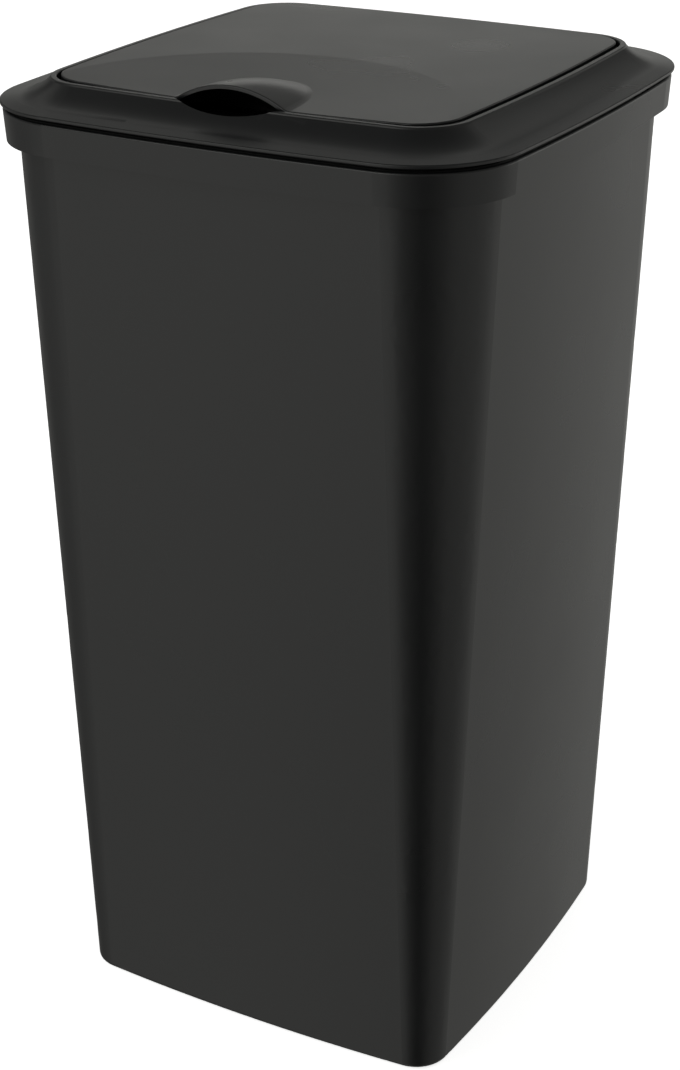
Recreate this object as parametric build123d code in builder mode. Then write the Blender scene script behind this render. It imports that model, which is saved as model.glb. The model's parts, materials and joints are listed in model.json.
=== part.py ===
"""Push-top countertop bin: a tapered bucket, a lift-off lid surround, and a sprung flap with a push latch.

Millimetres, +Z up. The origin is the centre of the foot ring on the surface the bin stands on.
The finger scoop and the latch are at the front (-Y), and the flap's hinge is at the back (+Y).
"""
import math
import os

from build123d import *

# ---- driving dimensions: bucket ----
base_half = 67.4            # half width at the foot, at the middle of a side
base_corner = 11.0
base_crown = 2.2            # how far a side bows outward between its corners
neck_half = 77.3            # half width right under the collar
wall = 2.0
floor_thick = 2.4
foot_height = 2.2
foot_width = 4.5
floor_fillet = 5.0
foot_fillet = 1.6
collar_bottom_z = 281.8
collar_height = 9.5
collar_step = 3.8           # the collar stands out this far from the neck
collar_flare = 0.6          # the collar widens this much towards its rim
rim_round = 0.8

# ---- driving dimensions: lid surround ----
seam_gap = 0.9              # shadow line between the collar's rim and the lid's flange
flange_overhang = 0.7       # past the collar's rim
flange_edge = 1.0
flange_fall = 0.6
flange_flat = 4.4
flange_under = 0.3
flange_round = 0.4
cove_drop = 4.9
cove_reach = 10.2
cove_sag = 1.15
bead_width = 1.7
bead_batter = 0.3
bead_height = 0.55
bead_round = 0.35
flap_proud = 0.45           # the flap stands this far above the bead round it
flap_gap = 1.3
lid_wall = 1.9
cove_root = 2.5             # the cove's underside meets the aperture wall this far below its top
plug_clear = 0.45           # plug skirt to the collar's inside
seat_gap = 0.3              # plug skirt to the ledge inside the collar

# ---- driving dimensions: flap ----
flap_corner = 12.8
lid_crown = 1.5
skin = 2.0
flap_edge = 4.0
flap_round = 0.35
dish_radius = 62.0
dish_depth = 0.7
lip_rise = 4.45             # the arched lip above the flap's top
lip_half = 16.3
lip_thick = 1.1
lip_blend = 3.5             # soft foot where the arch runs out into the flap
lip_length = 29.0

# ---- driving dimensions: flap liner ----
liner_drop = 6.6            # from the flap's top down to the liner's face
liner_thick = 1.6
liner_gap = 0.1
liner_inset = 5.0
liner_hinge_space = 11.0    # from the hinge's axis forward to the liner's rear edge
liner_screw_inset = 18.5
liner_screw_front = 34.5
liner_screw_rear = 14.0
notch_space = 3.4           # liner notch to the finger well's side
notch_back_space = 2.0

# ---- driving dimensions: finger scoop and well ----
scoop_half = 16.6
scoop_depth = 3.95          # measured across the tilted cut
scoop_tilt = 45.0
scoop_reach = 7.5
scoop_backing = 2.8         # stock behind the bead that the scoop is cut in
scoop_backing_drop = 3.8
well_half = 18.6
well_reach = 17.5           # from the flap's front edge to the back of the well
well_rim_drop = 7.6
well_depth = 11.4
well_wall = 1.6
well_round = 6.0
well_floor_round = 3.0

# ---- driving dimensions: hinge ----
hinge_inset = 17.5          # the axis lies this far in from the flap's rear edge
hinge_drop = 6.2            # and this far below the flap's top
pin_radius = 1.5
pin_clear = 0.06
pin_engage = 2.9            # the pin's outer end past the aperture wall
pin_end_clear = 0.3
pin_chamfer = 0.3
ear_radius = 3.8
ear_thick = 2.0
ear_inset = 1.5
knuckle_thick = 2.4
bearing_half = 4.0
bearing_end = 1.4
bearing_foot = 4.5          # from the axis down to the bearing's foot
bearing_cover = 1.2
bearing_root = 1.5          # the bearing runs this far into the aperture wall
slot_inward = 5.0
cap_thick = 2.0
cap_inner_space = 0.6
cap_round = 2.0
cap_screw_out = 3.5
cap_screw_pitch = 17.0
cap_screw_bite = 3.8
tongue_clear = 0.1
anchor_width = 3.0
anchor_clear = 0.2
anchor_root = 1.0
anchor_under = 0.45         # the caps' fingers pass this far under the aperture wall
coil_radius = 2.6
coil_wire = 0.45
wire_sides = 6              # coiled wire is drawn with flats, which keeps its faces few
coil_turns = 3
coil_pitch = 1.15
coil_play = 2.1
spring_leg = 9.0
leg_swell = 0.02            # bead where a leg meets the coil
pad_clear = 0.35
pad_length = 5.0
pad_thick = 1.6

# ---- driving dimensions: latch ----
post_neck_half = 1.5
post_head_half = 3.6
post_head_height = 3.2
post_head_edge = 0.8
post_width = 5.0
post_base_thick = 2.0
post_base_depth = 10.4
post_base_round = 2.0
post_base_space = 1.3
post_screw_x = 7.0
post_screw_edge = 3.0
post_boss_radius = 2.5
slider_thick = 7.8
slider_block = 11.0
slider_lift = 6.2           # room under the slider for the push
slider_clear = 0.4
jaw_clear = 3.4             # jaws to the post's base
jaw_height = 7.0
jaw_thick = 2.2
jaw_room = 2.5
jaw_proud = 1.0
barb_clear = 0.5
barb_height = 2.6
barb_tip = 0.6
head_gap = 0.3              # post's head under the barbs
track_half = 5.2
track_height = 9.2
track_lift = 5.6
track_depth = 1.4
track_round = 1.5
heart_drop = 0.7
heart_lobe = 1.5
heart_lobe_x = 1.35
heart_flank = 0.9
heart_notch = 0.6
heart_point = 3.0
follower_wire = 0.6
follower_room = 5.7
follower_out = 2.6
follower_pivot_lift = 1.8
follower_tip_lift = 1.85
follower_bend = 1.2
follower_tip_clear = 0.3
follower_end = 0.2
spring_wall = 0.8
spring_bore = 2.3
spring_bore_depth = 6.0
spring_wire = 0.3
spring_bore_clear = 0.25
spring_end_clear = 0.05
spring_turns = 4
latch_wall = 1.8
latch_back = 1.6
latch_cover_thick = 1.5
cover_short = 3.0
cover_arm = 1.3
cover_arm_clear = 0.05
cover_barb = 1.2
window_back = 6.0
window_width = 3.0
window_height = 5.0
window_clear = 0.5
latch_screw_out = 5.5
latch_screw_lift = 8.0
latch_screw_bite = 6.0
ear_edge = 4.0
ear_plate = 2.2
ear_half_height = 5.0
ear_round = 3.0
plate_edge = 1.5
plate_foot = 2.0
plate_round = 4.0
gusset_x = 9.0
gusset_thick = 1.6
gusset_foot = 5.0
gusset_front = 3.0
gusset_bite = 0.5

# ---- driving dimensions: fasteners ----
screw_radius = 1.3
screw_head_radius = 2.5
screw_head_height = 1.5
screw_fit = 0.05            # tapping hole
screw_pass = 0.2            # through hole
pilot_spare = 0.4
boss_radius = 3.0
small_screw_radius = 1.0
small_head_radius = 1.9
small_head_height = 1.2
small_screw_bite = 2.0
head_bevel = 0.6

# ---- sizes that follow: outlines and levels ----
collar_top_z = collar_bottom_z + collar_height
ledge_z = collar_bottom_z + wall
rim_half = neck_half + collar_step + collar_flare
rim_inner_half = rim_half - wall
plug_half = rim_inner_half - plug_clear
plug_inner = plug_half - lid_wall
plug_bottom_z = ledge_z + seat_gap
flange_half = rim_half + flange_overhang
flange_bottom_z = collar_top_z + seam_gap
flange_top = (flange_half, flange_bottom_z + flange_under + flange_edge)
cove_foot = (flange_half - flange_flat, flange_top[1] + flange_fall)
cove_top = (cove_foot[0] - cove_reach, cove_foot[1] + cove_drop)
bead_top_z = cove_top[1] + bead_height
ridge_z = bead_top_z + flap_proud       # the flap's top
bead_outer = cove_top[0] - bead_batter
aperture_half = bead_outer - bead_width
wall_outer = aperture_half + lid_wall
flap_half = aperture_half - flap_gap
lid_corner_centre = flap_half - flap_corner     # every outline from the neck to the flap turns about it
flap_under_z = ridge_z - skin
flap_bottom_z = ridge_z - flap_edge
lip_front_y = -flap_half

# ---- sizes that follow: liner, well and hinge ----
well_front_y = -aperture_half - well_wall
well_back_y = lip_front_y + well_reach
well_length = well_back_y - well_front_y
well_mid_y = (well_back_y + well_front_y) / 2
well_rim_z = ridge_z - well_rim_drop
well_bottom_z = well_rim_z - well_depth
hinge_y = flap_half - hinge_inset
hinge_z = ridge_z - hinge_drop
anchor_top_z = hinge_z - coil_radius - coil_wire - anchor_clear
aperture_bottom_z = anchor_top_z + anchor_under
liner_bottom_z = ridge_z - liner_drop
liner_top_z = liner_bottom_z + liner_thick
liner_rear_y = hinge_y - liner_hinge_space
liner_screw_x = flap_half - liner_screw_inset
liner_screw_y = (lip_front_y + liner_screw_front, liner_rear_y - liner_screw_rear)
liner_screw_bite = flap_under_z - liner_top_z - pilot_spare
notch_half = well_half + notch_space
notch_back_y = well_back_y + notch_back_space
pin_bore = pin_radius + pin_clear
pin_outer_x = wall_outer + pin_engage
ear_inner_x = flap_half - ear_inset - ear_thick
coil_length = (coil_turns + 0.5) * coil_pitch
knuckle_outer_x = ear_inner_x - coil_length - 2 * coil_wire - coil_play
pin_inner_x = knuckle_outer_x - knuckle_thick
bearing_outer_x = pin_outer_x + bearing_end
bearing_bottom_z = hinge_z - bearing_foot
bearing_top_z = hinge_z + bearing_cover
cap_inner_x = aperture_half + cap_inner_space
cap_screw_x = wall_outer + cap_screw_out
cap_outer_x = cap_screw_x + boss_radius
cap_half = cap_screw_pitch / 2 + screw_head_radius
cap_bottom_z = bearing_bottom_z - cap_thick
cap_screw_places = [(side * cap_screw_x, hinge_y + step * cap_screw_pitch / 2)
                    for side in (-1, 1) for step in (-1, 1)]

# ---- sizes that follow: latch ----
post_base_bottom_z = liner_bottom_z - post_base_thick
post_base_y = notch_back_y + post_base_space + post_base_depth / 2
post_base_half = post_screw_x + post_screw_edge
jaw_top_z = post_base_bottom_z - jaw_clear
slider_top_z = jaw_top_z - jaw_height
slider_bottom_z = slider_top_z - slider_block
barb_bottom_z = jaw_top_z - barb_height
head_top_z = barb_bottom_z - head_gap
head_bottom_z = head_top_z - post_head_height
barb_tip_x = post_neck_half + barb_clear
jaw_inner_x = post_head_half + jaw_room
slider_half = jaw_inner_x + jaw_thick
latch_half = slider_half + slider_clear + latch_wall
latch_floor_z = slider_bottom_z - slider_lift
latch_bottom_z = latch_floor_z - latch_wall
latch_top_z = jaw_top_z - jaw_proud
latch_height = latch_top_z - latch_bottom_z
latch_face_y = well_back_y
slider_back_y = latch_face_y + latch_back + slider_clear
slider_front_y = slider_back_y + slider_thick
slider_mid_y = (slider_back_y + slider_front_y) / 2
latch_front_y = slider_front_y + follower_room
latch_depth = latch_front_y - latch_face_y
cover_front_y = latch_front_y + latch_cover_thick
cover_height = latch_height - cover_short
window_z = (latch_bottom_z + latch_top_z) / 2
window_y = latch_front_y - window_back
latch_screw_x = latch_half + latch_screw_out
latch_screw_z = latch_bottom_z + latch_screw_lift
latch_screw_places = [(side * latch_screw_x, latch_screw_z) for side in (-1, 1)]
ear_half_span = latch_screw_x + ear_edge
plate_half = ear_half_span + plate_edge
plate_bottom_z = latch_bottom_z - plate_foot
track_mid_z = slider_bottom_z + track_lift
heart_z = track_mid_z - heart_drop
follower_y = slider_front_y + follower_out
follower_pivot_z = latch_floor_z + follower_pivot_lift
follower_tip_z = heart_z + follower_tip_lift
spring_y = slider_back_y + spring_wall + spring_bore
spring_bore_top_z = slider_bottom_z + spring_bore_depth
spring_radius = spring_bore - spring_wire - spring_bore_clear

os.makedirs("parts", exist_ok=True)


def crowned_path(half, corner, crown, grow=0.0):
    """Closed outline of a rounded square with bowed sides, moved outward by grow."""
    chord = half - corner
    side_radius = (chord**2 + crown**2) / (2 * crown)
    side_centre = half - side_radius
    corner_centre = (side_centre + math.sqrt(2 * (side_radius - corner) ** 2 - side_centre**2)) / 2
    turn = math.degrees(math.atan2(corner_centre, corner_centre - side_centre))
    CenterArc((side_centre, 0), side_radius + grow, 0, turn)
    CenterArc((corner_centre, corner_centre), corner + grow, turn, 90 - 2 * turn)
    CenterArc((0, side_centre), side_radius + grow, 90 - turn, turn)
    mirror(about=Plane.YZ)
    mirror(about=Plane.XZ)


def crowned_square(half, corner, crown, grow=0.0):
    """The same outline as a filled face."""
    with BuildLine() as outline:
        crowned_path(half, corner, crown, grow)
    make_face(outline.edges())


def lid_outline(half):
    """Outline of the lid family: every one is parallel to the flap's edge."""
    crowned_square(flap_half, flap_corner, lid_crown, half - flap_half)


def body_outline(z, grow=0.0):
    """Outline of the bucket's wall at height z, moved outward by grow."""
    share = z / collar_bottom_z
    half = base_half + share * (neck_half - base_half)
    corner = base_corner + share * (neck_half - lid_corner_centre - base_corner)
    crown = base_crown + share * (lid_crown - base_crown)
    crowned_square(half, corner, crown, grow)


def at_height(z):
    return Plane.XY.offset(z)


# ---- bucket ----
with BuildPart() as bin_body:
    with BuildSketch(at_height(0)):
        body_outline(0)
    with BuildSketch(at_height(collar_bottom_z)):
        body_outline(collar_bottom_z)
    loft(ruled=True)
    foot_edges = bin_body.faces().sort_by(Axis.Z)[0].outer_wire().edges()
    fillet(foot_edges, foot_fillet)
    with BuildSketch(at_height(collar_bottom_z)):
        lid_outline(rim_half - collar_flare)
    with BuildSketch(at_height(collar_top_z)):
        lid_outline(rim_half)
    loft(ruled=True)
    rim_edges = bin_body.faces().sort_by(Axis.Z)[-1].outer_wire().edges()
    fillet(rim_edges, rim_round)

# The cavity is made apart, so that its floor can be rounded before it is cut out.
with BuildPart() as bin_cavity:
    with BuildSketch(at_height(foot_height + floor_thick)):
        body_outline(foot_height + floor_thick, -wall)
    with BuildSketch(at_height(collar_bottom_z)):
        body_outline(collar_bottom_z, -wall)
    loft(ruled=True)
    fillet(bin_cavity.faces().sort_by(Axis.Z)[0].outer_wire().edges(), floor_fillet)
    with BuildSketch(at_height(collar_bottom_z)):
        body_outline(collar_bottom_z, -wall)
    extrude(amount=wall)
    with BuildSketch(at_height(ledge_z)):
        lid_outline(rim_inner_half - collar_flare)
    with BuildSketch(at_height(collar_top_z)):
        lid_outline(rim_inner_half)
    loft(ruled=True)

with bin_body:
    add(bin_cavity.part, mode=Mode.SUBTRACT)
    with BuildSketch(at_height(0)):
        body_outline(0, -foot_width)
    extrude(amount=foot_height, mode=Mode.SUBTRACT)

bin_body.part.label = "bin_body"
export_step(bin_body.part, "parts/bin_body.step")

# ---- lid surround ----
under_start = (plug_inner, cove_foot[1] - lid_wall)
under_end = (wall_outer, cove_top[1] - cove_root)

with BuildPart() as lid_surround:
    with BuildLine(at_height(ridge_z)) as aperture_path:
        crowned_path(flap_half, flap_corner, lid_crown, flap_gap)
    with BuildSketch(Plane.XZ) as surround_profile:
        with BuildLine():
            Polyline((wall_outer, aperture_bottom_z), (aperture_half, aperture_bottom_z),
                     (aperture_half, bead_top_z), (bead_outer, bead_top_z), cove_top)
            SagittaArc(cove_top, cove_foot, -cove_sag)
            Polyline(cove_foot, flange_top, (flange_half, flange_top[1] - flange_edge),
                     (plug_half, flange_bottom_z),
                     (plug_half - collar_flare, plug_bottom_z),
                     (plug_inner - collar_flare, plug_bottom_z), under_start)
            SagittaArc(under_start, under_end, cove_sag)
            Line(under_end, (wall_outer, aperture_bottom_z))
        make_face()
        fillet(surround_profile.vertices().group_by(Axis.Y)[-1], bead_round)
        fillet(surround_profile.vertices().group_by(Axis.X)[-1], flange_round)
    sweep(path=aperture_path.wires()[0])

# Finger scoop: a tilted round-bottomed cut through the bead, and a well behind it.
scoop_radius = (scoop_half**2 + scoop_depth**2) / (2 * scoop_depth)
scoop_axis = (0, math.cos(math.radians(scoop_tilt)), -math.sin(math.radians(scoop_tilt)))
scoop_plane = Plane((0, -aperture_half - bead_width / 2, ridge_z), x_dir=(1, 0, 0), z_dir=scoop_axis)
backing_height = ridge_z - scoop_backing_drop - aperture_bottom_z

with lid_surround:
    # thicker stock behind the bead, so that the scoop has a lip all round
    with Locations((0, -wall_outer - scoop_backing / 2 + lid_wall / 2, aperture_bottom_z + backing_height / 2)):
        Box(2 * scoop_half, scoop_backing + lid_wall, backing_height)
    with BuildSketch(scoop_plane):
        with Locations((0, scoop_depth - scoop_radius)):
            Circle(scoop_radius)
    extrude(amount=scoop_reach, both=True, mode=Mode.SUBTRACT)
    # well shell: outer tub, then its hollow
    with BuildSketch(at_height(well_bottom_z)):
        with Locations((0, well_mid_y)):
            RectangleRounded(2 * well_half, well_length, well_round)
    extrude(amount=well_depth)
    # plate under the well that carries the latch
    with BuildSketch(Plane.XZ.offset(-well_back_y)):
        with Locations((0, (plate_bottom_z + well_rim_z) / 2)):
            RectangleRounded(2 * plate_half, well_rim_z - plate_bottom_z, plate_round)
    extrude(amount=well_wall)
    for side in (-1, 1):
        with BuildSketch(Plane.YZ.offset(side * gusset_x - gusset_thick / 2)):
            with BuildLine():
                Polyline((well_back_y - well_wall, plate_bottom_z + gusset_foot),
                         (well_front_y + gusset_front, well_bottom_z + gusset_bite),
                         (well_back_y - well_wall, well_bottom_z + gusset_bite), close=True)
            make_face()
        extrude(amount=gusset_thick)
    with BuildSketch(Plane.XZ.offset(-well_back_y + well_wall)):
        with Locations(*latch_screw_places):
            Circle(boss_radius)
    extrude(amount=latch_screw_bite + pilot_spare)
    with BuildSketch(Plane.XZ.offset(-well_back_y)):
        with Locations(*latch_screw_places):
            Circle(screw_radius + screw_fit)
    extrude(amount=latch_screw_bite + pilot_spare, mode=Mode.SUBTRACT)

with BuildPart() as well_hollow:
    with BuildSketch(at_height(well_bottom_z + well_wall)):
        with Locations((0, well_mid_y)):
            RectangleRounded(2 * (well_half - well_wall), well_length - 2 * well_wall, well_round - well_wall)
    extrude(amount=ridge_z - well_bottom_z)
    fillet(well_hollow.faces().sort_by(Axis.Z)[0].edges(), well_floor_round)

with lid_surround:
    add(well_hollow.part, mode=Mode.SUBTRACT)
    # hinge bearings: blocks under the cove, slotted from below for the pins
    for side in (-1, 1):
        with BuildSketch(at_height(bearing_bottom_z)):
            with Locations((side * (wall_outer - bearing_root + bearing_outer_x) / 2, hinge_y)):
                Rectangle(bearing_outer_x - wall_outer + bearing_root, 2 * bearing_half)
        extrude(amount=bearing_top_z - bearing_bottom_z)
    with BuildSketch(at_height(bearing_bottom_z)):
        with Locations(*cap_screw_places):
            Circle(boss_radius)
    extrude(amount=cove_foot[1] - bearing_bottom_z)
    slot_inner_x = wall_outer - slot_inward
    slot_outer_x = pin_outer_x + pin_end_clear
    for side in (-1, 1):
        with BuildSketch(Plane.YZ.offset(side * slot_outer_x)):
            with Locations((hinge_y, hinge_z)):
                Circle(pin_bore)
            with Locations((hinge_y, hinge_z - bearing_foot)):
                Rectangle(2 * pin_bore, 2 * bearing_foot)
        extrude(amount=-side * (slot_outer_x - slot_inner_x), mode=Mode.SUBTRACT)
    with BuildSketch(at_height(bearing_bottom_z)):
        with Locations(*cap_screw_places):
            Circle(screw_radius + screw_fit)
    extrude(amount=cap_screw_bite + pilot_spare, mode=Mode.SUBTRACT)

lid_surround.part.label = "lid_surround"
export_step(lid_surround.part, "parts/lid_surround.step")

# ---- hinge: caps that close the bearings, pins and springs ----
anchor_height = anchor_top_z - cap_bottom_z
anchor_inner_x = knuckle_outer_x + anchor_clear
anchor_outer_x = cap_inner_x + anchor_root

# The right-hand parts are modelled, and the left-hand ones are their mirror images.
with BuildPart() as hinge_cap:
    with BuildSketch(at_height(cap_bottom_z)):
        with Locations(((cap_inner_x + cap_outer_x) / 2, hinge_y)):
            RectangleRounded(cap_outer_x - cap_inner_x, 2 * cap_half, cap_round)
        with Locations((cap_screw_x, hinge_y - cap_screw_pitch / 2),
                       (cap_screw_x, hinge_y + cap_screw_pitch / 2)):
            Circle(screw_radius + screw_pass, mode=Mode.SUBTRACT)
    extrude(amount=cap_thick)
    with Locations(((cap_inner_x + pin_outer_x) / 2, hinge_y, (bearing_bottom_z + hinge_z) / 2)):
        Box(pin_outer_x - cap_inner_x, 2 * (pin_bore - tongue_clear), hinge_z - bearing_bottom_z)
    with Locations(((cap_inner_x + pin_outer_x) / 2, hinge_y, hinge_z)):
        Cylinder(pin_bore, 2 * bearing_outer_x, rotation=(0, 90, 0), mode=Mode.SUBTRACT)
    # finger under the spring's lower leg
    with Locations(((anchor_inner_x + anchor_outer_x) / 2, hinge_y - spring_leg + anchor_width / 2,
                    anchor_top_z - anchor_height / 2)):
        Box(anchor_outer_x - anchor_inner_x, anchor_width, anchor_height)

with BuildPart() as hinge_pin:
    with BuildSketch(Plane.YZ.offset(pin_inner_x)):
        with Locations((hinge_y, hinge_z)):
            Circle(pin_radius)
    extrude(amount=pin_outer_x - pin_inner_x)
    chamfer(hinge_pin.edges().filter_by(GeomType.CIRCLE), pin_chamfer)

coil_start = ((knuckle_outer_x + ear_inner_x - coil_length) / 2, hinge_y, hinge_z)
with BuildPart() as torsion_spring:
    with BuildLine() as coil_path:
        Helix(coil_pitch, coil_length, coil_radius, center=coil_start, direction=(1, 0, 0), lefthand=True)
    coil = coil_path.line
    with BuildSketch(Plane(coil @ 0, z_dir=coil % 0)):
        RegularPolygon(coil_wire, wire_sides)
    sweep(path=coil, is_frenet=True)
    # both legs run forward: the upper one under the flap, the lower one over the cap's finger
    for end in (coil @ 0, coil @ 1):
        with Locations(end):
            Sphere(coil_wire + leg_swell)
        with BuildSketch(Plane(end, z_dir=(0, -1, 0))):
            RegularPolygon(coil_wire, wire_sides)
        extrude(amount=spring_leg)

for piece, name in ((hinge_cap, "hinge_cap"), (hinge_pin, "hinge_pin"), (torsion_spring, "torsion_spring")):
    right = piece.part
    right.label = f"{name}_right"
    export_step(right, f"parts/{name}_right.step")
    left = mirror(right, about=Plane.YZ)
    left.label = f"{name}_left"
    export_step(left, f"parts/{name}_left.step")


def pan_screws(places, seat_z, length, radius, head_radius, head_height):
    """Upright pan-head screws put in from below, their heads bearing up against seat_z."""
    with BuildPart() as screws:
        with BuildSketch(at_height(seat_z - head_height)):
            with Locations(*places):
                Circle(head_radius)
        extrude(amount=head_height)
        chamfer(screws.edges().group_by(Axis.Z)[0], head_bevel)
        with BuildSketch(at_height(seat_z)):
            with Locations(*places):
                Circle(radius)
        extrude(amount=length)
    return screws.part


hinge_cap_screws = pan_screws(cap_screw_places, cap_bottom_z, cap_thick + cap_screw_bite,
                              screw_radius, screw_head_radius, screw_head_height)
hinge_cap_screws.label = "hinge_cap_screws"
export_step(hinge_cap_screws, "parts/hinge_cap_screws.step")

# ---- flap ----
dish_sphere = (dish_radius**2 + dish_depth**2) / (2 * dish_depth)
lip_radius = (lip_half**2 + lip_rise**2) / (2 * lip_rise)
liner_screw_places = [(side * liner_screw_x, y) for side in (-1, 1) for y in liner_screw_y]
post_screw_places = [(side * post_screw_x, post_base_y) for side in (-1, 1)]


def lip_arch(drop):
    """Ring whose crest is the arched lip: highest at the flap's front edge, it sinks into the top behind it."""
    crest_radius = (lip_length**2 + lip_rise**2) / (2 * lip_rise)
    with BuildPart() as ring:
        with Locations(Location((0, lip_front_y, ridge_z + lip_rise - crest_radius), (0, 90, 0))):
            Torus(crest_radius - lip_radius, lip_radius - drop)
    return ring.part


def flap_blank(bottom_z, height):
    """Block that runs as far past the flap's front edge as it reaches behind it."""
    with BuildPart() as blank:
        with Locations((0, lip_front_y, bottom_z)):
            Box(2 * rim_half, 4 * rim_half, height, align=(Align.CENTER, Align.CENTER, Align.MIN))
    return blank.part


def flap_prism(half, bottom_z, height):
    with BuildPart() as prism:
        with BuildSketch(at_height(bottom_z)):
            lid_outline(half)
        extrude(amount=height)
    return prism.part


pad_bottom_z = hinge_z + coil_radius + coil_wire + pad_clear
with BuildPart() as flap_panel:
    # on the long blank the foot of the lip is one closed line, so it can be blended before the flap is cut out
    add(flap_blank(flap_bottom_z, flap_edge))
    with Locations((0, lip_front_y, ridge_z - dish_depth + dish_sphere)):
        Sphere(dish_sphere, mode=Mode.SUBTRACT)
    add(lip_arch(0) & flap_blank(flap_under_z, skin + lip_rise))
    lip_foot = flap_panel.edges().filter_by(GeomType.BSPLINE)
    fillet(lip_foot, lip_blend)
    add(flap_prism(flap_half, flap_bottom_z, flap_edge + lip_rise), mode=Mode.INTERSECT)
    walls = flap_panel.faces().filter_by(lambda face: round(face.normal_at().Z) == 0)
    top_edge = walls.edges().filter_by(Axis.Z, reverse=True).filter_by(lambda edge: edge.center().Z > flap_under_z)
    fillet(top_edge, flap_round)
    add(flap_prism(flap_half - skin, flap_bottom_z, flap_edge - skin), mode=Mode.SUBTRACT)
    add(lip_arch(lip_thick) & flap_prism(rim_half, flap_bottom_z, flap_edge + lip_rise), mode=Mode.SUBTRACT)
    # ears at the sides and knuckles further in carry the pins
    for side in (-1, 1):
        for inner_x, thick in ((ear_inner_x, ear_thick), (pin_inner_x, knuckle_thick)):
            start = inner_x if side > 0 else -inner_x - thick
            with BuildSketch(Plane.YZ.offset(start)):
                with Locations((hinge_y, hinge_z)):
                    Circle(ear_radius)
                with Locations((hinge_y, (hinge_z + flap_under_z) / 2)):
                    Rectangle(2 * ear_radius, flap_under_z - hinge_z)
                with Locations((hinge_y, hinge_z)):
                    Circle(pin_bore, mode=Mode.SUBTRACT)
            extrude(amount=thick)
        pad_x = side * coil_start[0]
        with Locations((pad_x, hinge_y - spring_leg + pad_thick / 2, (flap_under_z + pad_bottom_z) / 2)):
            Box(pad_length, pad_thick, flap_under_z - pad_bottom_z)
    with BuildSketch(at_height(liner_top_z)):
        with Locations(*liner_screw_places):
            Circle(boss_radius)
    extrude(amount=flap_under_z - liner_top_z)
    with BuildSketch(at_height(liner_top_z)):
        with Locations(*liner_screw_places):
            Circle(screw_radius + screw_fit)
    extrude(amount=flap_under_z - liner_top_z, mode=Mode.SUBTRACT)

flap_panel.part.label = "flap_panel"
export_step(flap_panel.part, "parts/flap_panel.step")


def liner_outline(inset):
    """Inner panel's outline: the flap's, cut square at the back and notched round the finger well."""
    lid_outline(flap_half - liner_inset - inset)
    with Locations((0, liner_rear_y - inset + flap_half)):
        Rectangle(4 * flap_half, 2 * flap_half, mode=Mode.SUBTRACT)
    with Locations((0, notch_back_y + inset - flap_half)):
        Rectangle(2 * (notch_half + inset), 2 * flap_half, mode=Mode.SUBTRACT)


with BuildPart() as flap_liner:
    with BuildSketch(at_height(liner_bottom_z)):
        liner_outline(0)
    extrude(amount=flap_under_z - liner_gap - liner_bottom_z)
    with BuildSketch(at_height(liner_top_z)):
        liner_outline(liner_thick)
    extrude(amount=flap_under_z - liner_top_z, mode=Mode.SUBTRACT)
    with BuildSketch(at_height(liner_bottom_z)):
        with Locations(*liner_screw_places):
            Circle(screw_radius + screw_pass)
        with Locations(*post_screw_places):
            Circle(small_screw_radius + screw_fit)
    extrude(amount=liner_thick, mode=Mode.SUBTRACT)
    with BuildSketch(at_height(liner_top_z)):
        with Locations(*post_screw_places):
            Circle(post_boss_radius)
            Circle(small_screw_radius + screw_fit, mode=Mode.SUBTRACT)
    extrude(amount=flap_under_z - liner_gap - liner_top_z)
flap_liner.part.label = "flap_liner"
export_step(flap_liner.part, "parts/flap_liner.step")

flap_liner_screws = pan_screws(liner_screw_places, liner_bottom_z, liner_thick + liner_screw_bite,
                               screw_radius, screw_head_radius, screw_head_height)
flap_liner_screws.label = "flap_liner_screws"
export_step(flap_liner_screws, "parts/flap_liner_screws.step")

# ---- latch post on the flap ----
with BuildPart() as latch_post:
    with BuildSketch(at_height(post_base_bottom_z)):
        with Locations((0, post_base_y)):
            RectangleRounded(2 * post_base_half, post_base_depth, post_base_round)
        with Locations(*post_screw_places):
            Circle(small_screw_radius + screw_pass, mode=Mode.SUBTRACT)
    extrude(amount=post_base_thick)
    with BuildSketch(Plane.XZ.offset(-slider_mid_y - post_width / 2)):
        with BuildLine():
            Polyline((0, post_base_bottom_z), (post_neck_half, post_base_bottom_z),
                     (post_neck_half, head_top_z), (post_head_half, head_top_z),
                     (post_head_half, head_top_z - post_head_edge), (post_neck_half, head_bottom_z),
                     (0, head_bottom_z))
            mirror(about=Plane.YZ)
        make_face()
    extrude(amount=post_width)
latch_post.part.label = "latch_post"
export_step(latch_post.part, "parts/latch_post.step")

latch_post_screws = pan_screws(post_screw_places, post_base_bottom_z,
                               post_base_thick + liner_thick + small_screw_bite,
                               small_screw_radius, small_head_radius, small_head_height)
latch_post_screws.label = "latch_post_screws"
export_step(latch_post_screws, "parts/latch_post_screws.step")

# ---- latch ----
with BuildPart() as latch_housing:
    with BuildSketch(at_height(latch_bottom_z)):
        with Locations((0, (latch_face_y + latch_front_y) / 2)):
            Rectangle(2 * latch_half, latch_depth)
    extrude(amount=latch_height)
    with BuildSketch(Plane.XZ.offset(-latch_face_y)):
        with Locations((0, latch_screw_z)):
            RectangleRounded(2 * ear_half_span, 2 * ear_half_height, ear_round)
        with Locations(*latch_screw_places):
            Circle(screw_radius + screw_pass, mode=Mode.SUBTRACT)
    extrude(amount=-ear_plate)
    with BuildSketch(at_height(latch_floor_z)):
        with Locations((0, latch_front_y)):
            Rectangle(2 * (slider_half + slider_clear), 2 * (latch_depth - latch_back))
    extrude(amount=latch_height, mode=Mode.SUBTRACT)
    # windows that the cover snaps into
    with Locations((0, window_y, window_z)):
        Box(2 * latch_half + latch_wall, window_width, window_height, mode=Mode.SUBTRACT)
latch_housing.part.label = "latch_housing"
export_step(latch_housing.part, "parts/latch_housing.step")

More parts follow.
